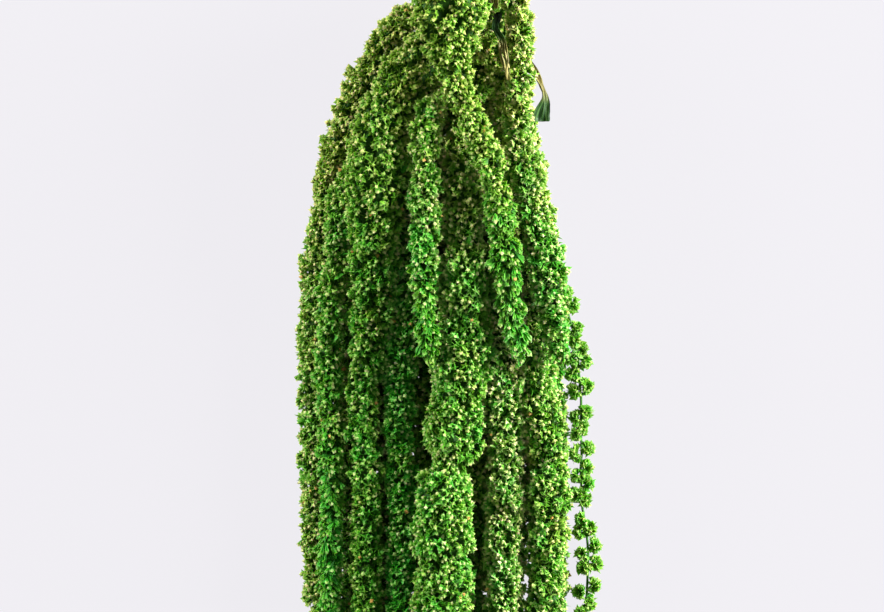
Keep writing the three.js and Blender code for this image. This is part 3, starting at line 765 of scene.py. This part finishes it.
# %% Beads of the string
BEAD_LEAST = 2.2 * MM  # a bulge that reaches less far is bare axis
BEAD_INSET = 2.4 * MM  # from the end of a bulge to the middle of its bead
BEAD_FLORETS = 26
NEIGHBOURS = 4  # cuts on each side that a bulge has to beat
BEAD_HEART = 0.5 * MM  # florets sit this far from the middle of their bead
BEAD_STRAY, BEAD_BACK = 0.25, -0.5  # at random, and how far back a floret may point
BEAD_SIZES = (0.75, 1.2)
BEAD_TINT, BEAD_TINT_SPREAD = 0.45, 0.15
BEAD_RIPE, BEAD_SEED_RIPE = (0.8, 1.1), 0.9
# A bead's star and seed in floret sizes: reach, height, the seed's middle and its radius.
BEAD_STAR, BEAD_STAR_TALL, BEAD_SEED_MIDDLE, BEAD_SEED = 1.1, 1.7, 1.75, 0.5


def bead_parts(middle, side):
    """A ball of florets round a middle, open towards the axis: stars that point all ways but back,
    and a seed in every second one."""
    stray = rng.normal(0, BEAD_STRAY, (BEAD_FLORETS, 3))
    ways = unit(ball_directions(BEAD_FLORETS) + stray)
    ways = ways[ways @ np.array([side, 0.0, 0.2]) > BEAD_BACK]
    count = len(ways)
    size = MM * rng.uniform(*BEAD_SIZES, count)
    tint = np.clip(rng.normal(BEAD_TINT, BEAD_TINT_SPREAD, count), 0, 1)
    seat = middle + BEAD_HEART * ways
    chart_reach = rng.uniform(*BEAD_RIPE, count)
    stars = seated(TEPALS, seat, ways, BEAD_STAR * size, BEAD_STAR_TALL * size, tint, chart_reach)
    bead = seat[::2] + BEAD_SEED_MIDDLE * size[::2, None] * ways[::2]
    small = BEAD_SEED * size[::2]
    chart_reach = np.full(len(small), BEAD_SEED_RIPE)
    return stars, seated(SEED, bead, ways[::2], small, SEED_TALL * small, tint[::2], chart_reach)


beads = 0
for side in (-1, 1):
    offsets = zip(cuts, axis.centre[:, 0])
    reach = np.array([(side * (c[:, 0] - x)).max() for c, x in offsets])
    for k in range(NEIGHBOURS, len(reach) - NEIGHBOURS):
        around = reach[k - NEIGHBOURS : k + NEIGHBOURS + 1]
        if reach[k] < BEAD_LEAST or reach[k] < around.max():
            continue
        x = axis.centre[k, 0]
        outer = cuts[k][side * (cuts[k][:, 0] - x) > 0.4 * reach[k]]
        middle = np.array([x + side * (reach[k] - BEAD_INSET), *outer.mean(axis=0)[1:]])
        string_parts.extend(bead_parts(middle, side))
        beads += 1
make_piece("beaded_string_florets", string_parts, FLORETS, "beaded_string")
print("beads on the string:", beads)

# %% [markdown]
# ## Dried leaves
#
# Three small leaves have shrivelled to crinkled strips. A level cut through a leaf's solid gives its
# width and the way it faces, and a thin folded strip with a fine crinkle is laid along those. A flat
# sheet with a bump pattern would have no folds to catch the light.

# %% Measuring a leaf
LEAF_STEP = 0.7 * MM
SPLIT_FROM = 0.5  # share of the run from which a blade is split
STRIP_SHORTER = 5  # cuts by which every second strip is shorter


def blade_line(name):
    """Middle, widest direction, half width and facing direction of a leaf at its level cuts, from the
    highest down. The widest direction is the first principal one of a cut's points."""
    cuts = level_cuts(name, LEAF_STEP)
    centre = smoothed(np.array([c.mean(axis=0) for c in cuts]), 2)
    wide = np.array([np.linalg.svd(c - c.mean(axis=0))[2][0] for c in cuts])
    for k in range(1, len(wide)):
        wide[k] *= np.sign(wide[k] @ wide[k - 1]) or 1
    wide = unit(smoothed(wide, 2))
    half = np.array([np.abs((c - c.mean(axis=0)) @ w).max() for c, w in zip(cuts, wide)])
    facing = unit(np.cross(np.gradient(centre, axis=0), wide))
    return centre, wide, smoothed(half[:, None], 1), facing


def strips_of(count, strips):
    """The strips of a blade of so many cuts: which cuts, from and to which share across, and how far
    each leans aside. A blade of one strip is whole, and others split at half of their run."""
    if strips == 1:
        return [(slice(0, count), -1, 1, 0)]
    split = int(SPLIT_FROM * count)
    edges = np.linspace(-1, 1, strips + 1)
    spans = [(slice(0, split), -1, 1, 0)]
    for k in range(strips):
        rows = slice(split - 1, count - STRIP_SHORTER * (k % 2))
        spans.append((rows, edges[k], edges[k + 1], k - (strips - 1) / 2))
    return spans


# %% Leaves
BLADE_HALF = 0.16 * MM  # half of a blade's thickness
BLADE_COLUMNS = 11
STRIP_CURL, STRIP_BACK, STRIP_LIFT = 1.1, 0.3, 0.8  # mm out, back in and up
BROAD_CRINKLE, FINE_CRINKLE = 0.16 * MM, 0.1 * MM
FOLD, FOLD_POWER, FOLD_LEVEL = 0.3, 1.4, 0.4  # in half widths, a rounded V across the blade
VEIN, VEIN_WAVE, MIDRIB, MIDRIB_WIDE = 0.55, 0.3, 0.35, 0.12  # places and steps on the chart
STRIP_PALER = 0.25
GREEN_EASE = 0.12  # share of the run over which tan turns green


def leaf(name, foot, green, strips=1):
    """A thin blade: the middle of each cut plus a place across it, lifted by a fold that rises to both
    edges and by two crossing sine crinkles. Its foot is darkened as painted shade where it tucks in
    among the tassels, it is green between two shares of its run, and its lower half can be split into
    curled strips."""
    centre, wide, half, facing = blade_line(name)
    run = np.arange(len(centre))[:, None] / len(centre)
    parts = []
    for rows, low, high, lean in strips_of(len(centre), strips):
        r = run[rows]
        apart = np.clip((r - SPLIT_FROM) / (1 - SPLIT_FROM), 0, 1)
        v = np.linspace(low, high, BLADE_COLUMNS)
        curl = lean * MM * (STRIP_CURL * np.sin(2.6 * apart) - STRIP_BACK * apart)
        crinkle = BROAD_CRINKLE * np.sin(9 * v + 21 * r) + FINE_CRINKLE * np.sin(31 * r - 5 * v)
        fold = FOLD * half[rows] * (np.abs(v) ** FOLD_POWER - FOLD_LEVEL)
        lift = fold + crinkle + np.abs(lean) * apart * STRIP_LIFT * MM
        flat = centre[rows][:, None] + (half[rows] * v + curl)[..., None] * wide[rows][:, None]
        upper = flat + (lift + BLADE_HALF)[..., None] * facing[rows][:, None]
        lower = flat + (lift - BLADE_HALF)[..., None] * facing[rows][:, None]
        vein = VEIN + VEIN_WAVE * np.sin(12 * v + 7 * r)
        vein = vein - MIDRIB * np.exp(-((v / MIDRIB_WIDE) ** 2))
        vein = vein + STRIP_PALER * apart * (strips > 1)
        begun = np.clip((r - green[0]) / GREEN_EASE, 0, 1)
        row = begun * np.clip((green[1] - r) / GREEN_EASE, 0, 1) + 0 * v
        # Towards its foot the blade is darkened: painted shade.
        shade = np.stack([np.clip(vein, 0, 1) * np.clip(r / foot, 0, 1), row], axis=-1)
        rings = np.concatenate([upper, lower[:, ::-1]], axis=1)
        parts.append(loft(rings, np.concatenate([shade, shade[:, ::-1]], axis=1)))
    piece = make_piece(f"{name}_blade", parts, DRY_LEAF, name)
    print(f"{name}: {len(centre)} cuts, {half.max() / MM * 2:.1f} mm at its widest")
    return piece


leaf("twisted_leaf", foot=0.1, green=(0.72, 2))
leaf("curled_leaf", foot=0.25, green=(-1, 0.5), strips=3)
leaf("bract_leaf", foot=0.3, green=(2, 3))

# %% [markdown]
# ## The stem
#
# A cut stem with shallow ridges along it, as amaranth has. Its end is cut square. A bump pattern could
# draw the ridges, but here they are part of the rings, so they also show on the rim of the cut.

# %% Stem
STEM_STATIONS, STEM_SIDES, RIDGES = 60, 48, 12
GROOVE, RIDGE_RISE = 0.93, 0.06  # shares of the measured radius
centres, radii = trace("stem")
line = Line(centres, radii, smooth=2)
stations = np.linspace(0, line.run[-1], STEM_STATIONS)
angle = np.linspace(0, 2 * np.pi, STEM_SIDES, endpoint=False)
ridge = 0.5 + 0.5 * np.cos(RIDGES * angle)
radius = line.at(stations)[1][:, None] * (GROOVE + RIDGE_RISE * ridge)
shade = np.stack([ridge, 0 * ridge], axis=-1)[None] + np.zeros((STEM_STATIONS, 1, 1))
stem = loft(rings_round(line, stations, radius, angle), shade)
make_piece("stem_ridged", [stem], STEM, "stem")
print(f"stem: {line.run[-1] / MM:.0f} mm long, {radii.max() / MM * 2:.1f} mm thick")

# %% [markdown]
# ## Florets on the stem
#
# Small clusters sit on the stem between the roots of the tassels, more of them where it runs out into
# the main one. Each could be set by hand, but the rule for tassels gives them the same skin, so they
# are made as one more tassel, round the stem's own line.

# %% Clusters on the stem
BARE_FROM = 104  # mm up the picture
CROWD_HEIGHTS, CROWD = (54, 82, 92), (4.5, 4.0, 0.6)  # mm up the picture, and mm past the stem
high = picture_height(centres)
crowd = np.interp(high, CROWD_HEIGHTS, CROWD) * MM
leafy = high < BARE_FROM
tassel("stem", Line(centres[leafy], (radii + crowd)[leafy]), ageing(0.7, (0, -0.05, -0.05)))

# %% [markdown]
# ## Floor, light and camera
#
# A plain pale light table, which glows a little and so shows hardly any shadow. Two large soft sources
# stand low at the right and the left, the right one stronger: the tassels in the middle hide the left
# ones from it, and every flank that faces out is bright. A weak third one above opens the hollows. The
# camera looks straight down from far off with a long lens, so that the head keeps the outline it has
# in a picture taken from the side as it hangs.

# %% Floor
# Opal sheet lit from below: an even near-white. Its surface is almost black to the lamps, so that its
# own light is all the eye gets from it.
opal = bpy.data.materials.new("opal_light_table")
opal.use_nodes = True
opal.node_tree.nodes.clear()
settings = {"Base Color": linear("#0e0e0f"), "Roughness": 0.9}
settings |= {"Emission Color": linear("#f0eef3"), "Emission Strength": 0.955}
shader = add_node(opal.node_tree, "ShaderNodeBsdfPrincipled", settings)
add_node(opal.node_tree, "ShaderNodeOutputMaterial", links={"Surface": shader.outputs[0]})
FLOOR_HALF = 3.0  # metres
floor_corners = FLOOR_HALF * np.array([[-1, -1, 0], [1, -1, 0], [1, 1, 0], [-1, 1, 0]])
floor_mesh = bpy.data.meshes.new("floor")
floor_mesh.from_pydata(floor_corners, [], [(0, 1, 2, 3)])
floor_mesh.materials.append(opal)
floor = bpy.data.objects.new("floor", floor_mesh)
bpy.context.scene.collection.objects.link(floor)
floor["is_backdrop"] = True
print(f"floor: {2 * FLOOR_HALF:.0f} m square")


# %% Light
LIGHTS = {  # where, how wide, both in metres, and how many watts
    "key_right": ((1.22, 0.45, 0.44), 0.7, 90),
    "fill_left": ((-1.18, 0.6, 0.36), 0.7, 38),
    "fill_above": ((0.15, 0.3, 1.7), 0.8, 2),
}
ROOM_LIGHT = 0.2


def soft_light(name, place, size, power):
    """A square soft source that faces the head."""
    data = bpy.data.lights.new(name, "AREA")
    data.energy = power
    data.size = size
    lamp = bpy.data.objects.new(name, data)
    lamp.location = place
    lamp.rotation_euler = (-Vector(place)).to_track_quat("-Z", "Y").to_euler()
    bpy.context.scene.collection.objects.link(lamp)


for name, (place, size, power) in LIGHTS.items():
    soft_light(name, place, size, power)
    print(f"{name}: {power} W")
world = bpy.data.worlds.new("pale_room")
world.use_nodes = True
background = world.node_tree.nodes["Background"]
background.inputs["Color"].default_value = (1, 1, 1, 1)
background.inputs["Strength"].default_value = ROOM_LIGHT
bpy.context.scene.world = world
bpy.context.scene.view_settings.view_transform = "Standard"

# %% Camera
FRAME_WIDTH = 884 * 0.3 * MM  # what the picture spans at the head's middle height
HEAD_HEIGHT = 24 * MM
CAMERA_AWAY = 1.3
SENSOR = 36
lens = bpy.data.cameras.new("long_lens")
lens.sensor_width = SENSOR
lens.lens = SENSOR * CAMERA_AWAY / FRAME_WIDTH
lens.clip_end = 20
camera = bpy.data.objects.new("camera", lens)
camera.location = (*PHOTO_MIDDLE[:2], HEAD_HEIGHT + CAMERA_AWAY)
bpy.context.scene.collection.objects.link(camera)
bpy.context.scene.camera = camera
print(f"lens: {lens.lens:.0f} mm")

# %% Finish
low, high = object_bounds()
print("size in mm:", [round((b - a) / MM, 1) for a, b in zip(low, high)])
